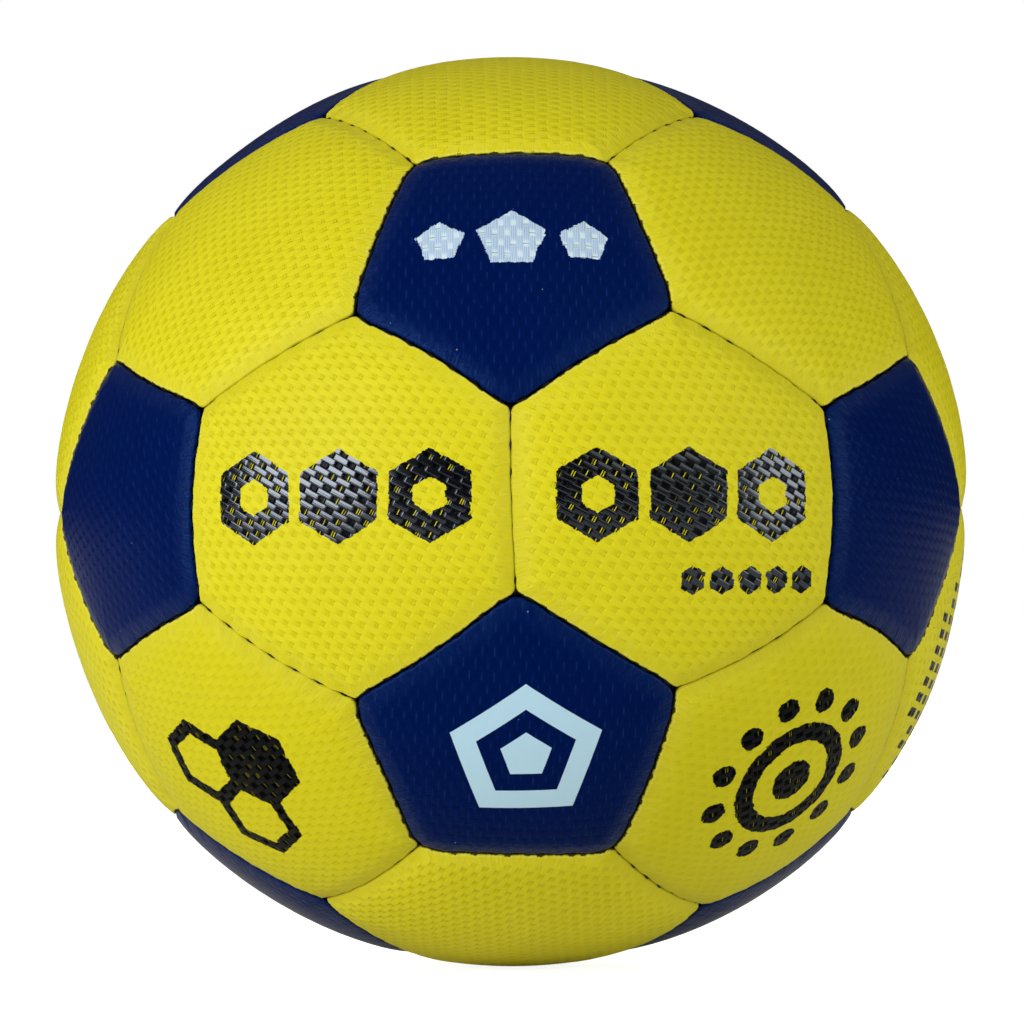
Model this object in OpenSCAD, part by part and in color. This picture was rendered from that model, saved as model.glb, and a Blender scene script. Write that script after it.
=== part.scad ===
// Hand-stitched handball of 32 panels, in millimetres.
// The centre of the ball is the origin, and +Z is up. The panels are the faces of a truncated
// icosahedron: 12 five-sided and 20 six-sided, each cut to a great circle along every seam.

/* [Ball] */
// Diameter over the panels
ball_d = 175; // [160:1:190]

/* [Cover] */
// Thickness of the synthetic leather with its foam backing
cover_t = 2.2; // [1.8:0.1:3]
// Slit between two neighbouring panels
seam_gap = 0.2; // [0.1:0.05:0.4]
// How far the panel edges roll in below the ball's surface at a seam
seam_depth = 1; // [0.6:0.1:1.4]
// Distance from the seam at which a panel starts to roll in
roll_w = 2.2; // [1.6:0.1:3]
// Width of the border that is turned in and stitched along each edge
border_w = 3.2; // [2.6:0.1:4]

/* [Lining] */
// Thickness of the fabric layers glued behind each panel
lining_t = 1.1; // [0.8:0.1:1.6]
// Film of glue between the lining and the cover
glue_t = 0.05; // [0.02:0.01:0.1]

/* [Bladder] */
// Wall of the rubber bladder
bladder_t = 1.1; // [0.8:0.1:1.6]
// Room between the bladder and the lining
bladder_gap = 0.1; // [0.05:0.05:0.3]

/* [Stitching] */
// Distance from one stitch to the next along a seam
stitch_pitch = 5; // [4:0.5:7]
// Length of thread in one stitch, across the seam
stitch_span = 4; // [3:0.2:5]
// Diameter of the waxed thread
thread_d = 0.7; // [0.5:0.1:0.8]
// Leather left above a stitch, at the floor of the seam
stitch_cover = 0.15; // [0.1:0.05:0.3]

/* [Valve] */
// Diameter of the rubber neck that shows in the panel
neck_d = 7; // [6.5:0.1:9]
// How far the neck's end lies below the ball's surface
neck_recess = 0.3; // [0.1:0.1:0.6]
// Length of the valve from the neck's end to its tip
valve_length = 24; // [21:0.5:30]
// Diameter of the valve's housing inside the bladder
housing_d = 9.6; // [9:0.1:12]
// Diameter of the flange that bonds the valve to the bladder
flange_d = 24; // [18:0.5:30]
// Thickness of that flange
flange_t = 1.2; // [0.8:0.1:1.6]
// Diameter of the fabric patch that backs the valve panel
patch_d = 28; // [22:0.5:34]
// Diameter of the self-sealing core where it shows
core_d = 4.4; // [4:0.1:5]
// Diameter of the core's bulb, which keeps it in the housing
bulb_d = 6; // [5.4:0.1:7]
// Length of the self-sealing core
core_length = 19; // [17:0.5:20]
// Diameter of the hole for the inflating needle
needle_d = 2.4; // [2:0.1:2.6]
// Depth of that hole
needle_depth = 12; // [8:0.5:14]
// Width of the small funnel at the hole's mouth
needle_funnel = 0.4; // [0.2:0.1:0.6]
// Room around the core, the neck and the patch
rubber_gap = 0.1; // [0.05:0.05:0.2]

/* [Hidden] */
$fn = 96;

ball_r = ball_d / 2;
lining_r = ball_r - cover_t;
inside_r = lining_r - lining_t;
bladder_r = inside_r - bladder_gap;
bladder_inside_r = bladder_r - bladder_t;
seam_floor_r = ball_r - seam_depth;
stitch_r = seam_floor_r - stitch_cover - thread_d / 2;
// How far a cutting shape runs past what it cuts
overrun = ball_d / 50;

// Rounded edge of a panel, as an arc seen along the seam: it leaves the ball's surface at
// roll_slope and reaches the seam's floor. Distances across the seam are below zero on the panel.
roll_slope = 8;
roll_start_r = sqrt(ball_r * ball_r - roll_w * roll_w);
roll_drop = roll_start_r - seam_floor_r;
roll_run = roll_w - seam_gap / 2;
roll_r = (roll_drop * roll_drop + roll_run * roll_run)
    / (2 * (roll_drop * cos(roll_slope) - roll_run * sin(roll_slope)));
roll_centre_r = roll_start_r - roll_r * cos(roll_slope);
roll_centre_w = -roll_w - roll_r * sin(roll_slope);

// Valve, measured along its axis from the ball's centre
neck_top = ball_r - neck_recess;
flange_top_r = bladder_inside_r - glue_t;
valve_tip = neck_top - valve_length;
tip_taper = housing_d / 5;
core_foot = neck_top - core_length;
bulb_top = neck_top - core_length * 0.4;
bulb_foot = neck_top - core_length * 0.75;
bulb_taper = (bulb_d - core_d) / 2;
needle_foot = neck_top - needle_depth;

// Directions of the panels' middles
phi = (1 + sqrt(5)) / 2;
both = [-1, 1];
pentagon_directions = concat(
    [for (u = both, v = both) [0, u * phi, v]],
    [for (u = both, v = both) [u * phi, v, 0]],
    [for (u = both, v = both) [u, 0, v * phi]]
);
hexagon_directions = concat(
    [for (u = both, v = both, w = both) [u, v, w]],
    [for (u = both, v = both) [u / phi, v * phi, 0]],
    [for (u = both, v = both) [u * phi, 0, v / phi]],
    [for (u = both, v = both) [0, u / phi, v * phi]]
);
// Distance of a flat face from the middle, for an edge of 1
pentagon_reach = sqrt((125 + 41 * sqrt(5)) / 10) / 2;
hexagon_reach = sqrt(3 * (7 + 3 * sqrt(5)) / 2) / 2;
// Angle that one edge takes at the ball's centre, and the least cosine between two neighbours
edge_angle = 2 * asin(2 / sqrt(58 + 18 * sqrt(5)));
neighbour_share = 0.7;

function unit(v) = v / norm(v);
pentagons = [for (d = pentagon_directions) [unit(d), pentagon_reach]];
hexagons = [for (d = hexagon_directions) [unit(d), hexagon_reach]];
panels = concat(pentagons, hexagons);
valve_hexagon = hexagons[len(hexagons) - 1];

function neighbours(panel) =
    [for (p = panels) if (p != panel && p[0] * panel[0] > neighbour_share) p];
// Across the seam, away from panel and towards other
function across(panel, other) = unit(other[0] / other[1] - panel[0] / panel[1]);
function level_with(v, normal) = unit(v - normal * (v * normal));
function frame(x, z) = let (y = cross(z, x)) [
    [x[0], y[0], z[0], 0],
    [x[1], y[1], z[1], 0],
    [x[2], y[2], z[2], 0],
    [0, 0, 0, 1]
];

edge_length = ball_r * edge_angle * PI / 180;
stitches = floor(edge_length / stitch_pitch);
stitch_angle = edge_angle * stitch_pitch / edge_length;

function numbered(name, i) = str(name, i < 10 ? "0" : "", i);
pentagon_names = [for (i = [1:len(pentagons)]) numbered("pentagon_panel_", i)];
hexagon_names = [for (i = [1:len(hexagons) - 1]) numbered("hexagon_panel_", i)];

yellow = "#E1DA2D";
navy = "#02145A";
cotton = "#D9D4C6";
black_rubber = "#1B1B1D";
bladder_rubber = "#3A3A3C";

// Places its children with X through the middle of the seam and Z across it, away from panel
module at_seam(panel, other) {
    z = across(panel, other);
    x = level_with(panel[0] + other[0], z);
    multmatrix(frame(x, z)) children();
}

module at_valve() {
    z = valve_hexagon[0];
    multmatrix(frame(level_with([1, 0, 0], z), z)) children();
}

// A solid pyramid from the ball's centre under one panel, its sides inset from the seams
module wedge(panel, inset, r) {
    difference() {
        sphere(r);
        for (other = neighbours(panel))
            at_seam(panel, other)
                translate([-ball_d, -ball_d, -inset]) cube(2 * ball_d);
    }
}

// What is cut away along one seam to roll the panel's edge in
module edge_roll() {
    rotate([0, 0, -edge_angle])
        rotate_extrude(angle = 2 * edge_angle)
            difference() {
                translate([seam_floor_r - seam_depth / 4, roll_centre_w])
                    square([seam_depth + overrun, overrun - roll_centre_w]);
                translate([roll_centre_r, roll_centre_w]) circle(roll_r);
            }
}

module cover_panel(panel) {
    difference() {
        wedge(panel, seam_gap / 2, ball_r);
        sphere(inside_r);
        wedge(panel, border_w - glue_t, lining_r);
        for (other = neighbours(panel))
            at_seam(panel, other) edge_roll();
    }
}

module lining(panel) {
    difference() {
        wedge(panel, border_w, lining_r - glue_t);
        sphere(inside_r);
    }
}

module pentagon_panel(i) {
    color(navy) cover_panel(pentagons[i]);
}

module hexagon_panel(i) {
    color(yellow) cover_panel(hexagons[i]);
}

module valve_panel() {
    color(yellow) difference() {
        cover_panel(valve_hexagon);
        at_valve() cylinder(h = ball_d, r = neck_d / 2 + rubber_gap);
    }
}

module pentagon_linings() {
    color(cotton) for (panel = pentagons) lining(panel);
}

module hexagon_linings() {
    color(cotton) {
        for (panel = hexagons)
            if (panel != valve_hexagon) lining(panel);
        difference() {
            lining(valve_hexagon);
            at_valve() cylinder(h = ball_d, r = patch_d / 2 + rubber_gap);
        }
    }
}

module bladder() {
    color(bladder_rubber) difference() {
        sphere(bladder_r);
        sphere(bladder_inside_r);
        at_valve() cylinder(h = ball_d, r = neck_d / 2 + rubber_gap);
    }
}

// Outline of the self-sealing core, grown all round by extra
module core_outline(extra) {
    polygon([
        [0, core_foot - extra],
        [core_d / 2 + extra, core_foot - extra],
        [core_d / 2 + extra, bulb_foot],
        [bulb_d / 2 + extra, bulb_foot + bulb_taper],
        [bulb_d / 2 + extra, bulb_top - bulb_taper],
        [core_d / 2 + extra, bulb_top],
        [core_d / 2 + extra, neck_top + extra],
        [0, neck_top + extra]
    ]);
}

module valve_housing() {
    color(black_rubber) at_valve() difference() {
        union() {
            translate([0, 0, valve_tip + tip_taper])
                cylinder(h = valve_length - tip_taper, d = neck_d);
            translate([0, 0, valve_tip + tip_taper])
                cylinder(h = bladder_inside_r - flange_t - valve_tip - tip_taper, d = housing_d);
            translate([0, 0, valve_tip])
                cylinder(h = tip_taper, d1 = housing_d - 2 * tip_taper, d2 = housing_d);
            intersection() {
                difference() {
                    sphere(flange_top_r);
                    sphere(flange_top_r - flange_t);
                }
                cylinder(h = ball_d, d = flange_d);
            }
        }
        rotate_extrude() core_outline(rubber_gap);
    }
}

module valve_core() {
    color(black_rubber) at_valve() rotate_extrude() difference() {
        core_outline(0);
        polygon([
            [0, needle_foot],
            [needle_d / 2, needle_foot],
            [needle_d / 2, neck_top - needle_funnel],
            [needle_d / 2 + needle_funnel, neck_top],
            [needle_d / 2 + needle_funnel, neck_top + overrun],
            [0, neck_top + overrun]
        ]);
    }
}

module valve_patch() {
    color(cotton) at_valve() intersection() {
        difference() {
            sphere(lining_r - glue_t);
            sphere(inside_r);
        }
        difference() {
            cylinder(h = ball_d, d = patch_d);
            cylinder(h = ball_d, r = neck_d / 2 + rubber_gap);
        }
    }
}

// One seam's stitches, each a short length of thread through both turned-in borders
module seam_stitches() {
    for (k = [0:stitches - 1])
        rotate([0, 0, (k - (stitches - 1) / 2) * stitch_angle])
            translate([stitch_r, 0, 0])
                cylinder(h = stitch_span, d = thread_d, center = true);
}

module stitching() {
    color(black_rubber)
        for (i = [1:len(panels) - 1], j = [0:i - 1])
            if (panels[i][0] * panels[j][0] > neighbour_share)
                at_seam(panels[i], panels[j]) seam_stitches();
}

for (i = [0:len(pentagon_names) - 1])
    pentagon_panel(i);
for (i = [0:len(hexagon_names) - 1])
    hexagon_panel(i);
valve_panel();
pentagon_linings();
hexagon_linings();
bladder();
valve_housing();
valve_core();
valve_patch();
stitching();
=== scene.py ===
"""A hand-sewn size 2 handball: 32 panels of embossed grip leather, thread in the seams, and the valve."""

import math
from types import SimpleNamespace

import bpy
import numpy as np
from mathutils import Matrix, Vector


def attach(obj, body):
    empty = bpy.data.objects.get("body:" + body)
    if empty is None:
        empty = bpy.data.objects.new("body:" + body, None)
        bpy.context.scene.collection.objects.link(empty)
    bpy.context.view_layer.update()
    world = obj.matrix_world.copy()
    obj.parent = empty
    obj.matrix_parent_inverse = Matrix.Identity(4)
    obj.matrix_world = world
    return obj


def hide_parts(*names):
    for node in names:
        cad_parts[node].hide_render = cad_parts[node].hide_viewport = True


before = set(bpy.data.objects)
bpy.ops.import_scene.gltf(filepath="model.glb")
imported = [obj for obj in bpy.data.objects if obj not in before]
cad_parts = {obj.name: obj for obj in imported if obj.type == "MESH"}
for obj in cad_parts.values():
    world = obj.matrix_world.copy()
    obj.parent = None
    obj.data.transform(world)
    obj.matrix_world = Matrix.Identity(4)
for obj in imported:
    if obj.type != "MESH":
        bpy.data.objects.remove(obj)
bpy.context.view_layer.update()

# Sizes of the ball, in millimetres
MM = 0.001
BALL_R = 87.5
COVER_UNDERSIDE_R = 85.36
LEAST_COVER = 0.1
VALVE_HOLE_R = 3.62

# Steps and stitches along each seam
EDGE_STEPS = 63
STITCHES_PER_EDGE = 7

# The pillow shape that air gives a panel: depths below the round at the seam, and how far in they reach.
# The valley runs only along seams between two yellow panels
PILLOW_DEPTH = 0.65
PILLOW_WIDTH = 2.5
CROWN_DEPTH = 0.25
CROWN_WIDTH = 8.0
VALLEY_DEPTH = 0.55
VALLEY_WIDTH = 4.5
CORNER_DIP = 0.22
CORNER_DIP_ALONG = 2.2
CORNER_DIP_WIDTH = 2.6

# The rolled lip at a panel's edge, and what each stitch pulls down beside it
BLUE_LIP = 0.7
YELLOW_LIP = 0.5
PUCKER_DEPTH = 0.12
RIPPLE_DEPTH = 0.07
RIPPLE_PITCH = 1.9
PUCKER_WIDTH = 2.0

# Shares: how much a seam's tension differs from the next, and how much shallower a tightly closed seam lies
TENSION_SPREAD = 0.25
CLOSED_PILLOW = 0.35
CLOSED_LIP = 0.8

# Half the gap between two lips, what a stitch adds to it, and how it wanders
HALF_GAP_BLUE = 0.09
HALF_GAP_YELLOW = 0.01
PULL_BLUE = 0.16
PULL_YELLOW = 0.22
GAP_WANDER = 0.07
GAP_WANDER_PITCH = 2.3
CORNER_GAP = 0.04
CORNER_GAP_ALONG = 1.3

# How a seam line strays from the straight: at blue corners, in long and short waves, and in a bow at the back
CORNER_ROUND = 0.6
CORNER_ROUND_ALONG = 1.8
LONG_WAVE = 0.1
LONG_WAVE_PITCH = 9.0
SHORT_WAVE = 0.07
SHORT_WAVE_PITCH = 4.0
BACK_BOW = 0.35

# Where the rings of a panel's mesh lie: round the lip in degrees, then in from it in millimetres, then as
# shares of the way that is left to the middle, and the same on the flat back
LIP_TURNS = (0, 20, 38, 54, 70, 90)
PILLOW_RINGS = (0.35, 0.8, 1.35, 2.0, 2.8, 3.8, 5.0, 6.5)
CROWN_RINGS = (0.12, 0.26, 0.42, 0.6, 0.8)
BACK_RINGS = (0.8, 0.4, 0.0)
LEAST_SQUINT = 0.6

# The rim of the valve hole: distance from its wall, and depth below the round where it has turned down
VALVE_RIM = ((0.45, 0.0), (0.12, 0.1), (0.0, 0.4))

# The thread in the seams, and one stitch's half length, slant and arch. Blue seams show little of it
THREAD_R = 0.27
THREAD_STEPS = 9
THREAD_SIDES = 8
STITCH_HALF = 1.35
STITCH_SLANT = 0.16
STITCH_ARCH = 0.5
SHOWING_BLUE = 0.1
SHOWING_YELLOW = 0.3

# The embossed weave: length of a float with its gap, width of a row, and where a float's two ends begin and
# stop dipping, counted from the pit
RUN = 4.6
ROW = 1.13
SLOW_END = 1.45
QUICK_END = 0.75
PIT_FLOOR = 0.3
EMBOSSING = 0.24
BACK_LIE = 37.0

PHI = (1 + math.sqrt(5)) / 2

# Neighbouring panels face at least this much the same way, as a cosine
NEIGHBOUR = 0.7

# A way that no panel faces
ASKEW = (0.3, 0.5, 0.81)

# How near a corner or a seam's middle lies to its row in the tables below, in millimetres
CORNER_REACH = 3.5
SEAM_REACH = 4

# The same for panels, as shares of the radius, and how far back a panel at the front may lie
PANEL_REACH = 0.12
PRINT_REACH = 0.1
FRONT_HALF = 0.1

# Where hand sewing has left the front corners, in millimetres right of and above the centre of the front view
SEWN_CORNERS = (
    (-28.8, -35.7), (-17.5, -62.7), (18.0, -63.5), (29.1, -34.0), (0.3, -16.5), (-57.8, -17.5),
    (-74.9, -27.8), (-57.1, 17.8), (-74.8, 28.0), (-36.1, -74.0), (-28.6, 34.6), (-17.6, 63.2),
    (17.7, 63.5), (28.8, 35.2), (-0.5, 17.3), (57.4, -18.3), (57.4, 17.3), (74.8, 27.9), (35.8, 75.1),
    (-35.7, 75.5), (35.7, -75.7), (64.1, 57.3), (64.3, -57.5), (-64.3, 57.5),
)

# How far the middle of each front seam bows away from its first panel: its place as above, then the bow
SEAM_BOWS = (
    (24, -51, 0.6), (15, -27, 0.5), (-24, -51, -0.2), (0, -65, -0.4), (-67, -24, 0.2), (24, 51, 0.2),
    (0, 65, 0.4), (-24, 51, 0.6), (-15, 27, -0.2), (15, 27, 0.1), (67, 24, 0.3), (67, -24, -0.5),
    (-44, -27, -0.4), (-27, -71, 0.3), (44, -27, -0.5), (27, -71, 0.3), (44, 27, 0.1), (0, 0, -0.3),
    (51, 67, -0.9), (-51, 67, 0.1), (51, -67, -1.2), (-51, -67, 1.0), (-27, -82, 2.4), (27, -82, -0.7),
)

# How far its stitches have pulled a front yellow seam open, from 0 to 1: its place as above, then the share
SEAM_OPENINGS = (
    (-44, -27, 1.0), (-27, 71, 0.7), (27, 71, 0.6), (-44, 27, 0.4),
    (0, 0, 0.3), (44, 27, 0.3), (27, -71, 0.3),
)
FRONT_OPENING = 0.2

# Where the outline seen from the front swells out of true round or falls short of it: degrees
# counter-clockwise from the right, height in millimetres, half width in degrees
SWELLS = (
    (18, 0.75, 30), (66, -0.35, 12), (126, -0.6, 14), (180, 0.5, 14),
    (216, 0.3, 12), (316, 0.7, 24), (350, -0.5, 9),
)

# Which way the weave runs on the front panels: their place as shares of the radius, then degrees below level
WEAVE_LIE = (
    (-0.36, 0.0, 29),
    (0.36, 0.0, 29),
    (0.0, 0.53, 90),
    (0.0, -0.53, 93),
    (-0.58, 0.58, -30),
    (0.58, 0.58, -35),
    (-0.58, -0.58, -33),
    (0.58, -0.58, -25),
    (-0.85, 0.0, 78),
    (0.85, 0.0, 48),
    (0.0, 0.93, 0),
    (0.0, -0.93, -38),
)


def unit(v):
    v = np.asarray(v, float)
    return v / np.linalg.norm(v, axis=-1, keepdims=True)


def wander(s, seed, pitch):
    """A smooth, repeatable wobble between about -1 and 1 along s, with waves of about that pitch."""
    total = np.zeros_like(np.asarray(s, float))
    for i, (stretch, share) in enumerate(((1.0, 0.5), (1.73, 0.3), (2.91, 0.2))):
        total += share * np.sin(2 * math.pi * s / pitch * stretch + seed * (1.7 + i) * 2.399 + i)
    return total


def out_of_round(way):
    """How far hand sewing leaves the ball out of true in a direction, most at the outline from the front."""
    turn = np.degrees(np.arctan2(way[..., 2], way[..., 0]))
    swell = 0.0
    for place, height, width in SWELLS:
        off = (turn - place + 180) % 360 - 180
        swell = swell + height * np.exp(-((off / width) ** 2))
    return swell * (1 - way[..., 1] ** 2) ** 2


# The 32 panels and the 90 seams between them

def panel_places():
    """Each panel's direction, number of sides and CAD node."""
    signs = (-1, 1)
    blue = [p for u in signs for v in signs for p in ((0, u * PHI, v), (u * PHI, v, 0), (u, 0, v * PHI))]
    yellow = [(u, v, w) for u in signs for v in signs for w in signs]
    for u in signs:
        for v in signs:
            yellow += [(u / PHI, v * PHI, 0), (u * PHI, 0, v / PHI), (0, u / PHI, v * PHI)]
    middles = {}
    for name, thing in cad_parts.items():
        if "panel" in name and "lining" not in name:
            co = np.empty(len(thing.data.vertices) * 3)
            thing.data.vertices.foreach_get("co", co)
            middles[name] = unit(co.reshape(-1, 3).mean(0))
    found = []
    for sides, directions in ((5, blue), (6, yellow)):
        for p in map(unit, directions):
            found.append({"way": p, "sides": sides, "node": max(middles, key=lambda n: middles[n] @ p)})
    return found


def seam_normal(a, b):
    """The plane of the seam between two panels, facing b."""
    reach = {
        5: math.sqrt((125 + 41 * math.sqrt(5)) / 10) / 2,
        6: math.sqrt(3 * (7 + 3 * math.sqrt(5)) / 2) / 2,
    }
    return unit(b["way"] / reach[b["sides"]] - a["way"] / reach[a["sides"]])


def sewn(corner):
    """A corner where the hand sewing left it."""
    for x, z in SEWN_CORNERS:
        there = np.array((x, 0, z)) / BALL_R
        there[1] = -math.sqrt(1 - there @ there)
        if corner[1] < 0 and np.linalg.norm(there - corner) * BALL_R < CORNER_REACH:
            return there
    return corner


def at_front(table, middle, otherwise):
    """What a table says of the front seam whose middle lies there."""
    for x, z, value in table:
        if math.hypot(middle[0] - x, middle[2] - z) < SEAM_REACH:
            return value
    return otherwise


def find_seams(places):
    """Gives each panel its neighbours in order round it, and returns the seams by their panels' numbers."""
    corners = {}
    for i, a in enumerate(places):
        beside = [j for j, b in enumerate(places) if j != i and a["way"] @ b["way"] > NEIGHBOUR]
        first = unit(np.cross(a["way"], ASKEW))
        second = np.cross(a["way"], first)
        beside.sort(key=lambda j: math.atan2(places[j]["way"] @ second, places[j]["way"] @ first))
        a["beside"] = beside
        for j, k in zip(beside, beside[1:] + beside[:1]):
            corner = unit(np.cross(seam_normal(a, places[j]), seam_normal(a, places[k])))
            corners[frozenset((i, j, k))] = sewn(corner * np.sign(corner @ a["way"]))
    seams = {}
    for i, a in enumerate(places):
        for n, j in enumerate(a["beside"]):
            if i > j:
                continue
            before, after = a["beside"][n - 1], a["beside"][(n + 1) % a["sides"]]
            start, end = corners[frozenset((i, j, before))], corners[frozenset((i, j, after))]
            seams[i, j] = sew(start, end, a["sides"] != places[j]["sides"], len(seams), a["way"])
    return seams


def sew(start, end, two_coloured, number, first_side):
    """One seam line: a great-circle arc with the small wander that pulled thread gives it."""
    share = np.linspace(0, 1, EDGE_STEPS + 1)
    angle = math.acos(start @ end)
    line = np.sin((1 - share) * angle)[:, None] * start + np.sin(share * angle)[:, None] * end
    line /= math.sin(angle)
    length = angle * BALL_R
    s = share * length
    across = unit(np.cross(unit(end - start), line))
    across *= np.sign(-(across @ first_side).mean())
    middle = unit(start + end) * BALL_R
    bow = BACK_BOW * math.sin(number * 4.1)
    opening = 0.5 + 0.5 * math.sin(number * 2.7)
    if middle[1] < 0:
        bow = at_front(SEAM_BOWS, middle, 0.0)
        opening = at_front(SEAM_OPENINGS, middle, FRONT_OPENING)
    rounding = CORNER_ROUND if two_coloured else 0.0
    drift = (bow - rounding) * 4 * share * (1 - share)
    drift += LONG_WAVE * wander(s, number, LONG_WAVE_PITCH)
    drift += SHORT_WAVE * wander(s, number + 50, SHORT_WAVE_PITCH)
    drift *= np.sin(math.pi * share) ** 0.5
    drift += rounding * (1 - np.exp(-((np.minimum(s, length - s) / CORNER_ROUND_ALONG) ** 2)))
    line = unit(line + across * (drift / BALL_R)[:, None])
    luck = np.sin(number * 12.9 + 7.3 * np.arange(STITCHES_PER_EDGE))
    shown = np.clip(opening + 0.45 * luck * (1.1 - opening), 0.05, 1.0)
    near = np.cos(2 * math.pi * (share * STITCHES_PER_EDGE - 0.5)).clip(0, 1) ** 1.3
    if two_coloured:
        gap = HALF_GAP_BLUE + PULL_BLUE * near**3 + GAP_WANDER * wander(s, number + 20, GAP_WANDER_PITCH)
        soft = 0 * s
    else:
        stitch = np.minimum((share * STITCHES_PER_EDGE).astype(int), STITCHES_PER_EDGE - 1)
        lens = near * shown[stitch]
        gap = HALF_GAP_YELLOW + PULL_YELLOW * lens
        soft = min(1.0, 0.35 + 0.65 * opening) * (1 - 0.8 * lens)
    return {
        "line": line,
        "across": across,
        "s": s,
        "two_coloured": two_coloured,
        "number": number,
        "length": length,
        "gap": gap,
        "soft": soft,
        "shown": shown,
    }


def outline(panel, number, seams):
    """The panel's edge, counter-clockwise from outside: points, ways inward, length along, and seam traits.

    The traits are the place along the seam, its number, half its gap, how tightly it is closed, and 1 between
    two colours or 0 between two yellow panels.
    """
    points, inward, along, far, traits = [], [], [], [], []
    total = 0.0
    for j in panel["beside"]:
        seam = seams[min(number, j), max(number, j)]
        step = 1 if number < j else -1
        side = seam["across"] * (-1 if number < j else 1)
        line, side, own = seam["line"][::step], side[::step], seam["s"][::step]
        points.append(line[:-1])
        inward.append(side[:-1])
        along.append(total + seam["s"][:-1])
        far.append(np.minimum(seam["s"], seam["length"] - seam["s"])[:-1])
        name = np.full_like(own, seam["number"])
        kind = np.full_like(own, 1.0 if seam["two_coloured"] else 0.0)
        traits.append(np.stack([own, name, seam["gap"][::step], seam["soft"][::step], kind], 1)[:-1])
        total += seam["length"]
    points, inward, along, far, traits = (np.concatenate(x) for x in (points, inward, along, far, traits))
    for step in (1, 2):
        points = unit(2 * points + np.roll(points, step, 0) + np.roll(points, -step, 0))
        inward = unit(2 * inward + np.roll(inward, step, 0) + np.roll(inward, -step, 0))
        traits[:, 2:] = (2 * traits + np.roll(traits, step, 0) + np.roll(traits, -step, 0))[:, 2:] / 4
    return points, inward, along, far, traits, total


def drop_at(d, along, far, traits, lip):
    """How far below the ball's round the leather lies, at distance d from its edge."""
    own, number, _, soft, kind = traits.T
    tight = 1 + TENSION_SPREAD * np.sin(number * 2.4)
    depth = PILLOW_DEPTH * tight * (1 - CLOSED_PILLOW * soft) * np.exp(-((d / PILLOW_WIDTH) ** 1.2))
    depth += CROWN_DEPTH * np.exp(-((d / CROWN_WIDTH) ** 1.5))
    depth += VALLEY_DEPTH * (1 - kind) * np.exp(-((d / VALLEY_WIDTH) ** 1.6))
    pulled = 0.5 + 0.5 * np.cos(2 * math.pi * (own * STITCHES_PER_EDGE / own.max() - 0.5))
    ripple = wander(along, 3.3, RIPPLE_PITCH)
    depth += (PUCKER_DEPTH * pulled + RIPPLE_DEPTH * ripple) * np.exp(-d / PUCKER_WIDTH)
    depth += CORNER_DIP * np.exp(-((far / CORNER_DIP_ALONG) ** 2)) * np.exp(-((d / CORNER_DIP_WIDTH) ** 1.5))
    inside_lip = np.clip(1 - d / lip, 0, 1)
    return depth + lip * (1 - CLOSED_LIP * soft) * (1 - np.sqrt(np.clip(1 - inside_lip**2, 0, 1)))


def ring_places(lip, reach, squint, hole):
    """A mesh's rings from back to front: angles in from the edge, with a radius or None for the leather."""
    end = reach - hole
    near = [lip * (1 - math.cos(math.radians(a))) for a in LIP_TURNS] + [lip + x for x in PILLOW_RINGS]
    last = near[-1] / BALL_R / squint
    front = [(d / BALL_R / squint, None) for d in near]
    front += [(last + (end - last) * f, None) for f in CROWN_RINGS]
    back = [(last + (end - last) * f, COVER_UNDERSIDE_R) for f in BACK_RINGS] + [(0 * end, COVER_UNDERSIDE_R)]
    if hole:
        front += [(end - off / BALL_R, BALL_R - depth if depth else None) for off, depth in VALVE_RIM]
        back = [(end, COVER_UNDERSIDE_R)] + back
    return back + front


def ring_faces(rings, columns, hole):
    """The faces between rings, and the ring and column from which each of their corners takes its maps."""
    faces, marks = [], []
    spans = [(k, k + 1) for k in range(rings - 1)] + ([(rings - 1, 0)] if hole else [])
    for k, m in spans:
        for c in range(columns):
            n = (c + 1) % columns
            faces.append((k * columns + c, k * columns + n, m * columns + n, m * columns + c))
            marks += [(k, c), (k, c + 1), (m, c + 1), (m, c)]
    if not hole:
        base, top, k = rings * columns, rings * columns + 1, rings - 1
        for c in range(columns):
            n = (c + 1) % columns
            faces.append((n, c, base))
            marks += [(0, c + 1), (0, c), (0, c)]
            faces.append((k * columns + c, k * columns + n, top))
            marks += [(k, c), (k, c + 1), (k, c)]
    return faces, marks


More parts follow.
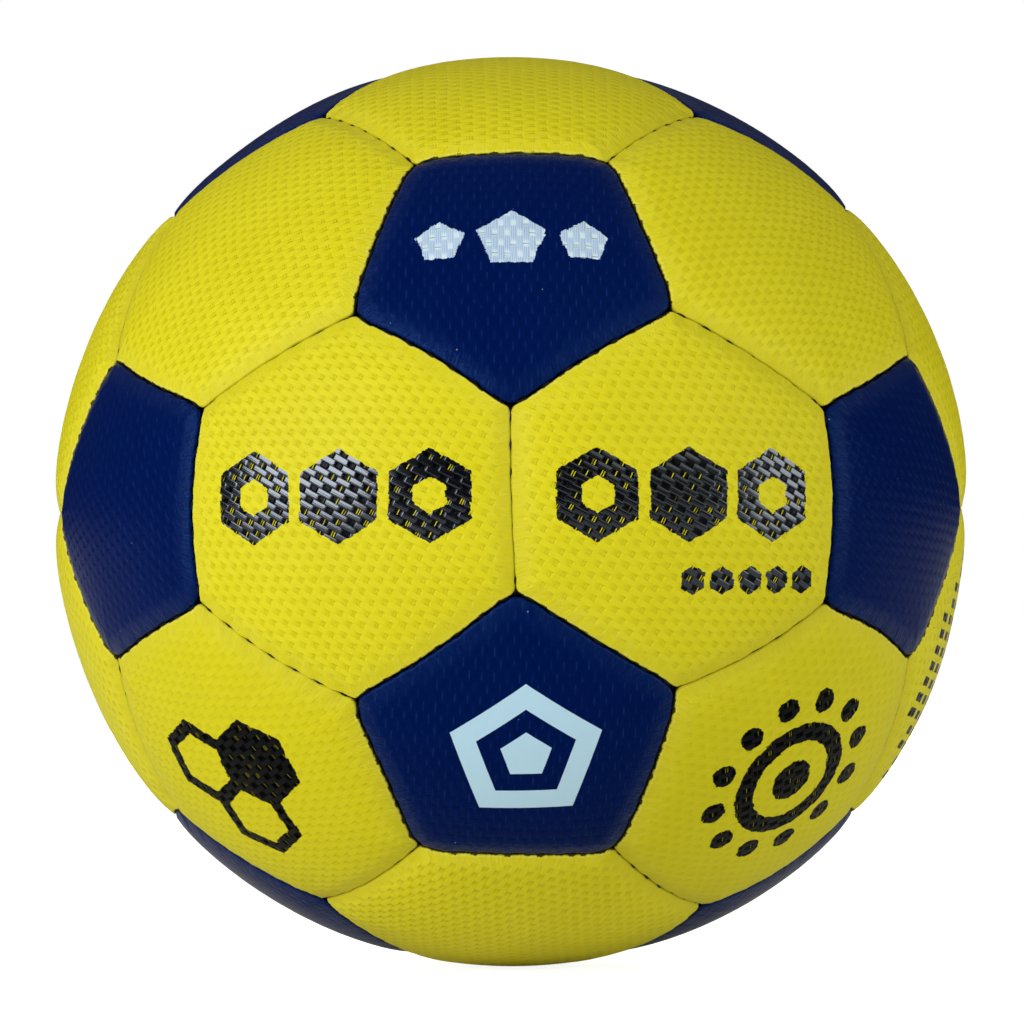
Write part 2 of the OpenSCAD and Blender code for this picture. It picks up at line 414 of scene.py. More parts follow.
def cover_mesh(panel, number, seams, grain, level):
    """A closed, padded panel: crowned leather, rolled edge, side wall and flat back, with its maps."""
    points, inward, along, far, traits, total = outline(panel, number, seams)
    way = panel["way"]
    lip = BLUE_LIP if panel["sides"] == 5 else YELLOW_LIP
    hole = VALVE_HOLE_R / BALL_R if panel["node"] == "valve_panel" else 0.0
    gap = traits[:, 2] + CORNER_GAP * np.exp(-((far / CORNER_GAP_ALONG) ** 2))
    points = unit(points + inward * (gap / BALL_R)[:, None])
    toward = unit(way - (points @ way)[:, None] * points)
    squint = np.clip((toward * inward).sum(1), LEAST_SQUINT, 1)
    rings = ring_places(lip, np.arccos(points @ way), squint, hole)
    columns = len(points)
    spots, seam_map = [], []
    for angle, radius in rings:
        angle = np.broadcast_to(angle, (columns,))
        d = angle * squint * BALL_R
        place = points * np.cos(angle)[:, None] + toward * np.sin(angle)[:, None]
        r = radius if radius else BALL_R - drop_at(d, along, far, traits, lip) + out_of_round(place)
        r = np.maximum(r, COVER_UNDERSIDE_R + (0.0 if radius else LEAST_COVER))
        spots.append(place * np.broadcast_to(r, (columns,))[:, None])
        seam_map.append(np.stack([d, along, traits[:, 3], traits[:, 4]], 1))
    if not hole:
        spots.append([way * COVER_UNDERSIDE_R, way * (BALL_R + out_of_round(way))])
    verts = np.concatenate(spots)
    faces, marks = ring_faces(len(rings), columns, hole)
    mesh = bpy.data.meshes.new("cover_" + panel["node"])
    mesh.from_pydata((verts * MM).tolist(), [], faces)
    mesh.polygons.foreach_set("use_smooth", [True] * len(faces))
    corner_verts = np.empty(len(mesh.loops), int)
    mesh.loops.foreach_get("vertex_index", corner_verts)
    around = unit(verts)
    lean = np.arccos(np.clip(around @ way, -1, 1))
    off = around - (around @ way)[:, None] * way
    off = off / np.maximum(np.linalg.norm(off, axis=1, keepdims=True), 1e-9) * (lean * BALL_R)[:, None]
    # The grain and print maps are millimetres from the panel's middle, along the weave or level
    for name, axes in (("grain", grain), ("print", level)):
        flat = np.stack([off @ axes[0], off @ axes[1]], 1)[corner_verts]
        mesh.uv_layers.new(name=name).data.foreach_set("uv", flat.ravel())
    # The seam map holds millimetres in from the edge and along it, the closing map how tightly the seam is
    # closed and whether it joins two colours
    k, c = np.array(marks).T
    beside = np.array(seam_map)[k, c % columns].copy()
    beside[:, 1] += np.where(c >= columns, total, 0)
    mesh.uv_layers.new(name="seam").data.foreach_set("uv", beside[:, :2].ravel())
    mesh.uv_layers.new(name="closing").data.foreach_set("uv", beside[:, 2:].ravel())
    mesh.validate()
    return mesh


# Shader helpers

CHOICES = {
    "Math": "operation",
    "VectorMath": "operation",
    "MapRange": "interpolation_type",
    "Mix": "data_type",
}


def put(tree, kind, inputs=(), out=0, **settings):
    """Adds a shader node and fills its sockets, in order or by name, with values or links.

    The kind may carry the node's main choice, as in "Math ADD". Where out is None, all the outputs come back.
    """
    kind, _, choice = kind.partition(" ")
    made = tree.nodes.new("ShaderNode" + kind)
    if choice:
        settings[CHOICES[kind]] = choice
    for name, value in settings.items():
        setattr(made, name, value)
    for key, value in inputs.items() if isinstance(inputs, dict) else enumerate(inputs):
        if isinstance(value, bpy.types.NodeSocket):
            tree.links.new(value, made.inputs[key])
        elif value is not None:
            made.inputs[key].default_value = value
    return made.outputs if out is None else made.outputs[out]


def colour(text):
    """The linear colour of an sRGB hex code."""
    parts = [int(text[i : i + 2], 16) / 255 for i in (1, 3, 5)]
    return tuple(p / 12.92 if p <= 0.04045 else ((p + 0.055) / 1.055) ** 2.4 for p in parts) + (1.0,)


def new_material(name):
    material = bpy.data.materials.new(name)
    material.use_nodes = True
    material.node_tree.nodes.clear()
    return material, material.node_tree


def finish_surface(t, base, roughness, height=None, relief=0.0, shine=0.5, glint=(1, 1, 1, 1)):
    """A Principled surface with its bump, whose relief is in millimetres, joined to the output."""
    sockets = {"Base Color": base, "Roughness": roughness}
    sockets.update({"Specular IOR Level": shine, "Specular Tint": glint})
    if height is not None:
        sockets["Normal"] = put(t, "Bump", {"Strength": 1.0, "Distance": relief * MM, "Height": height})
    put(t, "OutputMaterial", [put(t, "BsdfPrincipled", sockets)], out=None)


def weave(t):
    """The embossed weave, from the grain map in millimetres.

    It gives the height, the pits and their grooves, the filaments, a proud strand and a number for each float.
    """
    lie = put(t, "UVMap", uv_map="grain")
    shake = put(t, "TexNoise", {"Vector": lie, "Scale": 0.11, "Detail": 1.0}, out=1)
    lie = put(t, "VectorMath MULTIPLY_ADD", [shake, (0.9, 0.5, 0.0), lie])
    x, y = put(t, "SeparateXYZ", [lie], out=None)[:2]
    row = put(t, "Math MULTIPLY", [y, 1 / ROW])
    row_number = put(t, "Math FLOOR", [row])
    odd = put(t, "Math FLOORED_MODULO", [row_number, 2.0])
    across = put(t, "Math FRACT", [row])
    run = put(t, "Math MULTIPLY_ADD", [odd, 0.5, put(t, "Math MULTIPLY", [x, 1 / RUN])])
    place = put(t, "Math FRACT", [run])
    off_middle = put(t, "Math ABSOLUTE", [put(t, "Math SUBTRACT", [place, 0.5])])
    from_pit = put(t, "Math MULTIPLY_ADD", [off_middle, -RUN, 0.5 * RUN])
    before_pit = put(t, "Math MULTIPLY_ADD", [place, -RUN, RUN])
    side = put(t, "Math ABSOLUTE", [put(t, "Math MULTIPLY_ADD", [across, 2.0, -1.0])])
    cell = put(t, "CombineXYZ", [put(t, "Math FLOOR", [run]), row_number])
    luck = put(t, "TexWhiteNoise", {"Vector": cell}, noise_dimensions="2D")
    # A float dips slowly into the pit at its far end and rises quickly out of the last one, between walls
    slow = put(t, "MapRange SMOOTHSTEP", [before_pit, SLOW_END, PIT_FLOOR, 0.0, 1.0])
    quick = put(t, "MapRange SMOOTHSTEP", [from_pit, QUICK_END, PIT_FLOOR, 0.0, 1.0])
    wall = put(t, "MapRange SMOOTHSTEP", [side, 1.0, 0.7, 0.0, 1.0])
    pit = put(t, "Math MULTIPLY", [put(t, "Math MAXIMUM", [slow, quick]), wall])
    # Two grooves in each pit leave one strand of the weft standing between them
    groove = put(t, "Math ABSOLUTE", [put(t, "Math SUBTRACT", [from_pit, 0.22])])
    groove = put(t, "MapRange SMOOTHSTEP", [groove, 0.14, 0.03, 0.0, 1.0])
    groove = put(t, "Math MULTIPLY", [groove, put(t, "MapRange SMOOTHSTEP", [side, 1.0, 0.85, 0.0, 1.0])])
    # Each row is a flat band with rounded borders, of fine filaments that run along it
    filament = put(t, "Math COSINE", [put(t, "Math MULTIPLY", [across, 2 * math.pi * 3.5])])
    border = put(t, "Math MULTIPLY_ADD", [put(t, "Math POWER", [side, 8.0]), -0.1, 1.0])
    border = put(t, "Math MULTIPLY_ADD", [put(t, "Math MULTIPLY", [side, side]), -0.1, border])
    height = put(t, "Math MULTIPLY_ADD", [filament, 0.01, border])
    height = put(t, "Math MULTIPLY_ADD", [pit, -0.5, height])
    height = put(t, "Math MULTIPLY_ADD", [groove, -0.28, height])
    # One strand along the near side of each float stands a little proud
    strand = put(t, "Math ABSOLUTE", [put(t, "Math SUBTRACT", [across, 0.3])])
    strand = put(t, "MapRange", [strand, 0.17, 0.05, 0.0, 1.0])
    strand = put(t, "Math MULTIPLY", [strand, put(t, "MapRange", [off_middle, 0.26, 0.12, 0.0, 1.0])])
    return SimpleNamespace(height=height, pit=pit, groove=groove, filament=filament, strand=strand, luck=luck)


# The prints, in plain shapes: each gives 1 where ink lies, at x and y millimetres from the panel's middle

def polygon(t, x, y, sides, turn=0.0):
    """Distance from a regular polygon's middle, measured square to its nearest side."""
    angle = put(t, "Math ADD", [put(t, "Math ARCTAN2", [y, x]), turn + 2 * math.pi])
    angle = put(t, "Math FLOORED_MODULO", [angle, 2 * math.pi / sides])
    angle = put(t, "Math COSINE", [put(t, "Math SUBTRACT", [angle, math.pi / sides])])
    return put(t, "Math MULTIPLY", [distance(t, x, y), angle])


def distance(t, x, y):
    """Distance from the middle."""
    return put(t, "VectorMath LENGTH", [put(t, "CombineXYZ", [x, y])], out=1)


def inside(t, measure, limit):
    """1 where the measure is under the limit, with an edge a tenth of a millimetre soft."""
    return put(t, "MapRange", [put(t, "Math SUBTRACT", [limit, measure]), -0.05, 0.05, 0.0, 1.0])


def repeated(t, value, pitch, start=0.0):
    """The value counted from the middle of its own cell in a row, and the cell's number from the start."""
    moved = put(t, "Math ADD", [value, pitch / 2 - start])
    within = put(t, "Math SUBTRACT", [put(t, "Math FLOORED_MODULO", [moved, pitch]), pitch / 2])
    cell = put(t, "Math FLOOR", [put(t, "Math MULTIPLY", [moved, 1 / pitch])])
    return within, cell


def band_of_hexagons(t, x, y):
    """Three hexagons in a row: a ring, a solid one and a ring."""
    within, cell = repeated(t, x, 17.0)
    size = polygon(t, within, put(t, "Math SUBTRACT", [y, 1.0]), 6, math.pi / 6)
    far = put(t, "Math ABSOLUTE", [cell])
    hollow = inside(t, size, put(t, "Math MULTIPLY", [far, 2.9]))
    ring = put(t, "Math SUBTRACT", [inside(t, size, 7.4), hollow], use_clamp=True)
    return put(t, "Math MULTIPLY", [ring, inside(t, far, 1.5)])


def band_and_small_row(t, x, y):
    """The band again, with five small hexagons below it."""
    within, cell = repeated(t, x, 5.8, 12.6)
    size = polygon(t, within, put(t, "Math ADD", [y, 14.4]), 6, math.pi / 6)
    row = inside(t, put(t, "Math ABSOLUTE", [cell]), 2.5)
    small = put(t, "Math MULTIPLY", [inside(t, size, 2.3), row])
    return put(t, "Math MAXIMUM", [band_of_hexagons(t, x, y), small])


def three_pentagons(t, x, y):
    """A large pentagon between two smaller ones."""
    within, cell = repeated(t, x, 13.0)
    far = put(t, "Math ABSOLUTE", [cell])
    limit = put(t, "Math MULTIPLY_ADD", [far, -1.5, 5.2])
    size = polygon(t, within, put(t, "Math SUBTRACT", [y, 1.5]), 5, math.pi / 2 + math.pi / 5)
    return put(t, "Math MULTIPLY", [inside(t, size, limit), inside(t, far, 1.5)])


def pentagon_ring(t, x, y):
    """A thick pentagon ring with a smaller pentagon inside it."""
    x, y = put(t, "Math SUBTRACT", [x, 2.0]), put(t, "Math SUBTRACT", [y, 1.0])
    size = polygon(t, x, y, 5, math.pi / 2 + math.pi / 5)
    ring = put(t, "Math SUBTRACT", [inside(t, size, 11.6), inside(t, size, 7.6)], use_clamp=True)
    return put(t, "Math ADD", [ring, inside(t, size, 3.9)], use_clamp=True)


def honeycomb(t, x, y):
    """Three hexagons that share their sides, two outlined and one solid."""
    lines, hollows = 0.0, 0.0
    for right, up, hollow in ((-7.1, 4.1, 5.6), (7.1, 4.1, 0.0), (0.0, -8.2, 5.6)):
        dx, dy = put(t, "Math SUBTRACT", [x, right]), put(t, "Math SUBTRACT", [y, up])
        size = polygon(t, dx, dy, 6, math.pi / 6)
        lines = put(t, "Math MAXIMUM", [lines, inside(t, size, 8.2)])
        hollows = put(t, "Math MAXIMUM", [hollows, inside(t, size, hollow)])
    return put(t, "Math SUBTRACT", [lines, hollows], use_clamp=True)


def ring_of_dots(t, x, y):
    """Twelve dots round a thick circle with a solid middle."""
    radius = distance(t, x, y)
    turn, _ = repeated(t, put(t, "Math ARCTAN2", [y, x]), math.pi / 6)
    sideways = put(t, "Math MULTIPLY", [turn, radius])
    dot = inside(t, distance(t, sideways, put(t, "Math SUBTRACT", [radius, 16.8])), 2.4)
    circle = put(t, "Math SUBTRACT", [inside(t, radius, 12.4), inside(t, radius, 8.6)], use_clamp=True)
    middle = put(t, "Math MAXIMUM", [inside(t, radius, 4.4), circle])
    return put(t, "Math MAXIMUM", [dot, middle])


def rows_of_bars(t, x, y):
    """Three upright rows of short bars near the panel's left side, shorter toward its corner."""
    across, column = repeated(t, x, 6.0, -17.0)
    down, row = repeated(t, y, 3.2)
    reach = put(t, "Math MULTIPLY_ADD", [column, 2.0, 5.5])
    bar = 1.0
    for measure, limit in ((across, 2.0), (down, 0.9), (column, 1.5), (row, reach)):
        bar = put(t, "Math MULTIPLY", [bar, inside(t, put(t, "Math ABSOLUTE", [measure]), limit)])
    return bar


# Grip leather: one recipe for both colours. Its shares say how much shows of the painted pit shade ("hollow"),
# the paler wear with a painted sheen near a seam, the painted highlight on the rim, the painted glints on
# proud strands ("strand") and the crackle. "polish" is how much more the leather shines near a seam. The
# yellow reads as matt and bright, the navy as smoother and darker, with a blue gleam where it is pulled tight
YELLOW = {
    "body": "#E6DB10", "float": "#EAE126", "pit": "#D4C800", "edge": "#EEE86A", "seam_shadow": "#1C1A04",
    "speck": "#8F8A20", "seam_shade": "#857A04", "glint": "#FFFFFF",
    "hollow": 0.2, "pale_wear_and_sheen": 0.3, "rim_highlight": 0.8, "strand": 0.0, "crackle": 0.0, "relief": 1.0,
    "dull": 0.5, "shine": 0.14, "polish": 1.0,
}
SMOOTHER_YELLOW = dict(YELLOW, body="#DED30F", float="#E2D91F", hollow=0.12, relief=0.6)
BLUE = {
    "body": "#00154E", "float": "#021854", "pit": "#001148", "edge": "#24407F", "seam_shadow": "#000210",
    "speck": "#B9C3DC", "seam_shade": "#00082A", "glint": "#60A0FF",
    "hollow": 0.05, "pale_wear_and_sheen": 0.2, "rim_highlight": 0.0, "strand": 0.4, "crackle": 0.5, "relief": 0.4,
    "dull": 0.28, "shine": 0.05, "polish": 3.5,
}

# Screen inks: "line" is their tone on some filaments and "floor" in the pits. "bare" is how much leather shows
# in the grooves, "ragged" how far the edge strays in millimetres, and "filled" how far the ink evens out the
# weave. The black glitters on the floats, the white is chalky, and the pale blue lies smooth
BLACK_INK = {
    "ink": "#030407", "line": "#030407", "floor": "#010102",
    "gloss": 0.15, "shine": 1.0, "bare": 0.9, "ragged": 0.5, "filled": 0.0,
}
DULL_BLACK_INK = dict(BLACK_INK, ink="#030406", line="#030406", gloss=0.3, shine=0.1, bare=0.3)
WHITE_INK = {
    "ink": "#C9E2F8", "line": "#8FA8D0", "floor": "#E4F8FF",
    "gloss": 0.42, "shine": 0.4, "bare": 0.6, "ragged": 0.5, "filled": 0.0,
}
PALE_BLUE_INK = dict(WHITE_INK, ink="#C4E9FF", line="#C4E9FF", floor="#C4E9FF")
PALE_BLUE_INK.update(bare=0.0, ragged=0.03, filled=0.85)
INK_GLINT = "#E4EFFF"


def leather_maps(t):
    """The weave, with where the seams are, how they are closed, and the creases beside them."""
    w = weave(t)
    w.grain = put(t, "UVMap", uv_map="grain")
    w.edge, along = put(t, "SeparateXYZ", [put(t, "UVMap", uv_map="seam")], out=None)[:2]
    w.soft, w.two_coloured = put(t, "SeparateXYZ", [put(t, "UVMap", uv_map="closing")], out=None)[:2]
    # The weave is pressed flat close to the seams, where pulling creases it square to the seam instead
    w.flat = put(t, "MapRange SMOOTHSTEP", [w.edge, 0.8, 3.6, 0.1, 1.0])
    w.near = put(t, "MapRange SMOOTHSTEP", [w.edge, 6.0, 0.4, 0.0, 1.0])
    across = put(t, "Math MULTIPLY", [w.edge, 0.3])
    where = put(t, "CombineXYZ", [put(t, "Math MULTIPLY", [along, 2.0]), across])
    w.streak = put(t, "TexNoise", {"Vector": where, "Scale": 1.0, "Detail": 3.0, "Roughness": 0.6})
    return w


def leather_colour(t, w, tones):
    """Body with floats painted paler and pits painted darker, wear with a painted sheen, clouds and dust,
    painted highlights on strands and rim, and the painted shade and shadow of the seam at the edge.
    """
    # Painted light and shade: floats painted paler where they stand high as a painted highlight, pits painted
    # darker as painted shade, each float a little different
    lift = put(t, "Math MULTIPLY_ADD", [w.luck, 0.35, 0.5])
    lift = put(t, "Math MULTIPLY", [lift, put(t, "Math MULTIPLY", [w.height, w.flat])])
    hollow = put(t, "Math MULTIPLY", [put(t, "Math MULTIPLY", [w.pit, w.flat]), tones["hollow"]])
    # Paler streaks near the seams: partly wear, partly a painted highlight on the crease ridges
    wear_and_sheen = put(t, "MapRange", [w.streak, 0.35, 0.7, 0.0, tones["pale_wear_and_sheen"]])
    wear_and_sheen = put(t, "Math MULTIPLY", [wear_and_sheen, w.near])
    # Painted highlight: proud strands here and there are painted in the pale edge tone, as glints where they
    # catch the light
    here = put(t, "TexNoise", {"Vector": w.grain, "Scale": 0.45, "Detail": 3.0, "Roughness": 0.7})
    strand_glint = put(t, "Math MULTIPLY", [w.strand, put(t, "MapRange", [here, 0.38, 0.62, 0.0, tones["strand"]])])
    # Slow changes of tone over a panel, as polyurethane film has, and a few specks of dust or dirt
    cloud = put(t, "TexNoise", {"Vector": w.grain, "Scale": 0.05, "Detail": 2.0})
    cloud = put(t, "MapRange", [cloud, 0.35, 0.7, 0.0, 0.22])
    dust = put(t, "TexVoronoi", {"Vector": w.grain, "Scale": 0.21, "Randomness": 1.0})
    dust = put(t, "MapRange", [dust, 0.032, 0.02, 0.0, 0.6])
    # Painted shade: open yellow seams get a dark line and a softer darker band beside them, where the shade of
    # their crease falls; closed ones less, and blue ones not at all
    seam_shade = put(t, "MapRange SMOOTHSTEP", [w.edge, 0.4, 0.05, 0.0, 0.6])
    seam_shade = put(t, "Math ADD", [seam_shade, put(t, "MapRange SMOOTHSTEP", [w.edge, 4.0, 0.3, 0.0, 0.2])])
    for closed in (w.soft, w.two_coloured):
        seam_shade = put(t, "Math MULTIPLY", [seam_shade, put(t, "Math SUBTRACT", [1.0, closed])])
    # At blue seams the weave and the creases make the edge toothed, with a pale painted highlight along its
    # crest
    teeth = put(t, "Math MULTIPLY_ADD", [w.streak, 0.3, put(t, "Math MULTIPLY_ADD", [w.height, 0.35, -0.45])])
    edge = put(t, "Math MULTIPLY_ADD", [teeth, w.two_coloured, w.edge])
    rim_highlight = put(t, "Math ABSOLUTE", [put(t, "Math SUBTRACT", [edge, 0.45])])
    rim_highlight = put(t, "MapRange", [rim_highlight, 0.22, 0.08, 0.0, 1.0])
    patches = put(t, "MapRange", [w.streak, 0.4, 0.6, 0.2 * tones["rim_highlight"], tones["rim_highlight"]])
    rim_highlight = put(t, "Math MULTIPLY", [put(t, "Math MULTIPLY", [rim_highlight, patches]), w.two_coloured])
    # Painted shadow: the lip is painted near black where it turns down into the seam, later where a stitch has
    # closed it
    painted_seam_shadow = put(t, "Math MULTIPLY_ADD", [w.soft, 0.42, edge])
    painted_seam_shadow = put(t, "MapRange SMOOTHSTEP", [painted_seam_shadow, 0.24, 0.08, 0.0, 0.95])
    # Painted light among these layers: the float highlight, the pit shade, the sheen in the wear, the strand
    # glints, the seam shade, the rim highlight and the seam shadow
    layers = (
        (lift, "float"), (hollow, "pit"), (wear_and_sheen, "edge"), (strand_glint, "edge"), (cloud, "pit"), (dust, "speck"),
        (seam_shade, "seam_shade"), (rim_highlight, "edge"), (painted_seam_shadow, "seam_shadow"),
    )
    base = colour(tones["body"])
    for share, tone in layers:
        base = put(t, "Mix RGBA", {0: share, 6: base, 7: colour(tones[tone])}, out=2)
    return base


def leather_bumps(t, w, tones):
    """The weave's height where it isn't pressed flat, with creases and crackle near seams and fine pores."""
    creases = put(t, "Math MULTIPLY", [put(t, "Math MULTIPLY", [w.streak, w.near]), 0.8])
    crackle = put(t, "TexNoise", {"Vector": w.grain, "Scale": 1.1, "Detail": 3.0, "Roughness": 0.65})
    crackle = put(t, "Math MULTIPLY", [crackle, w.near])
    creases = put(t, "Math MULTIPLY_ADD", [crackle, tones["crackle"], creases])
    relief = put(t, "Math MULTIPLY", [w.flat, tones["relief"]])
    bumps = put(t, "Math MULTIPLY_ADD", [w.height, relief, creases])
    pores = put(t, "TexNoise", {"Vector": w.grain, "Scale": 3.2, "Detail": 2.0})
    return put(t, "Math MULTIPLY_ADD", [pores, 0.01, bumps])


def ink_maps(t, w, ink, motif):
    """Where a screen ink lies, and its colour: its edge is ragged where the weave lifted the screen."""
    x, y = put(t, "SeparateXYZ", [put(t, "UVMap", uv_map="print")], out=None)[:2]
    stray = put(t, "TexNoise", {"Vector": w.grain, "Scale": 1.8, "Detail": 1.0}, out=1)
    stray = put(t, "VectorMath ADD", [stray, (-0.5, -0.5, 0)])
    right, up = put(t, "SeparateXYZ", [stray], out=None)[:2]
    x = put(t, "Math MULTIPLY_ADD", [put(t, "Math SUBTRACT", [w.luck, 0.5]), ink["ragged"], x])
    x = put(t, "Math MULTIPLY_ADD", [right, ink["ragged"], x])
    y = put(t, "Math MULTIPLY_ADD", [up, ink["ragged"], y])
    y = put(t, "Math SUBTRACT", [y, put(t, "Math MULTIPLY", [w.height, 0.5 * ink["ragged"]])])
    # The ink misses the strands deep in some pits, so the leather shows there
    patchy = put(t, "TexNoise", {"Vector": w.grain, "Scale": 0.2, "Detail": 2.0})
    missed = put(t, "MapRange", [put(t, "Math ADD", [patchy, w.luck]), 1.05, 1.2, 0.0, ink["bare"]])
    missed = put(t, "Math MULTIPLY", [missed, put(t, "MapRange", [w.groove, 0.3, 0.6, 0.0, 1.0])])
    mask = put(t, "Math MULTIPLY", [motif(t, x, y), put(t, "Math SUBTRACT", [1.0, missed])])
    lines = put(t, "Math ADD", [w.filament, put(t, "Math MULTIPLY", [patchy, 1.2])])
    lines = put(t, "MapRange", [lines, 0.9, 1.5, 0.0, 1.0])
    tint = put(t, "Mix RGBA", {0: lines, 6: colour(ink["ink"]), 7: colour(ink["line"])}, out=2)
    floor_share = put(t, "Math MULTIPLY", [w.pit, 0.8])
    return mask, put(t, "Mix RGBA", {0: floor_share, 6: tint, 7: colour(ink["floor"])}, out=2)


def grip_leather(name, tones, ink=None, motif=None):
    """Embossed polyurethane leather: its floats catch the light and are painted paler, its pits are painted
    darker, its edges are worn, with painted highlights and shade at the seams.
    """
    material, t = new_material(name)
    w = leather_maps(t)
    base, bumps = leather_colour(t, w, tones), leather_bumps(t, w, tones)
    roughness, glint = tones["dull"], colour(tones["glint"])
    shine = put(t, "MapRange", [w.near, 0.3, 0.9, tones["shine"], tones["shine"] * tones["polish"]])
    if motif:
        mask, tint = ink_maps(t, w, ink, motif)
        base = put(t, "Mix RGBA", {0: mask, 6: base, 7: tint}, out=2)
        glint = put(t, "Mix RGBA", {0: mask, 6: glint, 7: colour(INK_GLINT)}, out=2)
        roughness = put(t, "MapRange", [mask, 0.0, 1.0, tones["dull"], ink["gloss"]])
        # Ink shines on the crowns of the floats and lies dull between them
        crown = put(t, "MapRange", [w.height, 0.8, 0.93, 0.12 * ink["shine"], ink["shine"]])
        shine = put(t, "Mix", {0: mask, 2: shine, 3: crown})
        evened = put(t, "Math MULTIPLY", [mask, ink["filled"]])
        bumps = put(t, "Mix", {0: evened, 2: bumps, 3: 0.9 * tones["relief"]})
    finish_surface(t, base, roughness, bumps, EMBOSSING, shine, glint)
    return material


def waxed_thread(name):
    """Black waxed polyester thread: two plies whose twist shows as slanting ridges."""
    material, t = new_material(name)
    along, around = put(t, "SeparateXYZ", [put(t, "UVMap", uv_map="thread")], out=None)[:2]
    twist = put(t, "Math MULTIPLY", [put(t, "Math MULTIPLY_ADD", [along, 1.6, around]), 4 * math.pi])
    twist = put(t, "Math SINE", [twist])
    # Painted highlight: the crests of the twist are painted a little lighter than the grooves
    crest_highlight = put(t, "MapRange", [twist, -1.0, 1.0, 0.0, 1.0])
    base = put(t, "Mix RGBA", {0: crest_highlight, 6: colour("#030304"), 7: colour("#0B0B0D")}, out=2)
    finish_surface(t, base, 0.5, twist, 0.03, 0.2)
    return material


def woven_lining(name, warp, weft):
    """Lining cloth: a plain weave of half-millimetre threads under latex, which looks pale and dull."""
    material, t = new_material(name)
    where = put(t, "TexCoord", out=3)
    threads = {"Vector": where, "Scale": 320.0, "Distortion": 0.6}
    upright = put(t, "TexWave", threads, out=1, bands_direction="X")
    level = put(t, "TexWave", threads, out=1, bands_direction="Z")
    cloth = put(t, "Math MULTIPLY", [upright, level])
    base = put(t, "Mix RGBA", {0: cloth, 6: colour(warp), 7: colour(weft)}, out=2)
    finish_surface(t, base, 0.85, cloth, 0.1)
    return material


def moulded_rubber(name, body, bloom, roughness):
    """Moulded rubber with a fine mould texture: a soft black that a faint bloom greys in patches."""
    material, t = new_material(name)
    where = put(t, "TexCoord", out=3)
    cloud = put(t, "TexNoise", {"Vector": where, "Scale": 60.0, "Detail": 3.0})
    skin = put(t, "TexNoise", {"Vector": where, "Scale": 900.0, "Detail": 2.0})
    share = put(t, "MapRange", [cloud, 0.4, 0.7, 0.0, 1.0])
    base = put(t, "Mix RGBA", {0: share, 6: colour(body), 7: colour(bloom)}, out=2)
    finish_surface(t, base, roughness, skin, 0.04)
    return material


# Which panels carry a print: their place in the front view as shares of the radius, then leather and print
PRINTS = (
    (-0.36, 0.0, "yellow grip leather, black band", YELLOW, BLACK_INK, band_of_hexagons),
    (0.36, 0.0, "yellow grip leather, black band and row", YELLOW, BLACK_INK, band_and_small_row),
    (0.0, 0.53, "navy grip leather, white pentagons", BLUE, WHITE_INK, three_pentagons),
    (0.0, -0.53, "navy grip leather, pale blue ring", BLUE, PALE_BLUE_INK, pentagon_ring),
    (-0.58, -0.58, "yellow grip leather, honeycomb", SMOOTHER_YELLOW, DULL_BLACK_INK, honeycomb),
    (0.58, -0.58, "yellow grip leather, ring of dots", SMOOTHER_YELLOW, DULL_BLACK_INK, ring_of_dots),
    (0.93, -0.36, "yellow grip leather, rows of bars", YELLOW, DULL_BLACK_INK, rows_of_bars),
)

yellow_leather = grip_leather("yellow grip leather", YELLOW)
blue_leather = grip_leather("navy grip leather", BLUE)


def leather_for(panel):
    """The panel's own printed leather, or the plain one of its colour."""
    way = panel["way"]
    for x, z, name, tones, ink, motif in PRINTS:
        if way[1] < FRONT_HALF and math.hypot(way[0] - x, way[2] - z) < PRINT_REACH:
            return grip_leather(name, tones, ink, motif)
    return blue_leather if panel["sides"] == 5 else yellow_leather


def level_axes(way):
    """Right and up across a panel's middle, as seen from outside."""
    right = unit(np.cross((0, 0, 1), way))
    return right, np.cross(way, right)


def weave_axes(panel, number):
    """Along and across the weave on a panel, from the way that it runs when seen from the front."""
    way = panel["way"]
    for x, z, turn in WEAVE_LIE:
        if way[1] < FRONT_HALF and math.hypot(way[0] - x, way[2] - z) < PANEL_REACH:
            a = math.radians(turn)
            run = np.array((math.cos(a), 0, -math.sin(a)))
            run[1] = -(run @ way) / way[1]
            run = unit(run)
            return run, np.cross(way, run)
    right, up = level_axes(way)
    a = math.radians(BACK_LIE * number)
    run = right * math.cos(a) + up * math.sin(a)
    return run, np.cross(way, run)


def add_object(name, mesh, material, nodes):
    """A piece on the ball's one body, in place of CAD nodes."""
    made = bpy.data.objects.new(name, mesh)
    bpy.context.scene.collection.objects.link(made)
    mesh.materials.append(material)
    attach(made, "root")
    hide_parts(*nodes)
    return made


places = panel_places()
seams = find_seams(places)
for number, panel in enumerate(places):
    mesh = cover_mesh(panel, number, seams, weave_axes(panel, number), level_axes(panel["way"]))
    cover = add_object("cover_" + panel["node"], mesh, leather_for(panel), [panel["node"]])


# Stitches: each is a bit of thread that rises out of one panel, slants over the seam and dives into the other

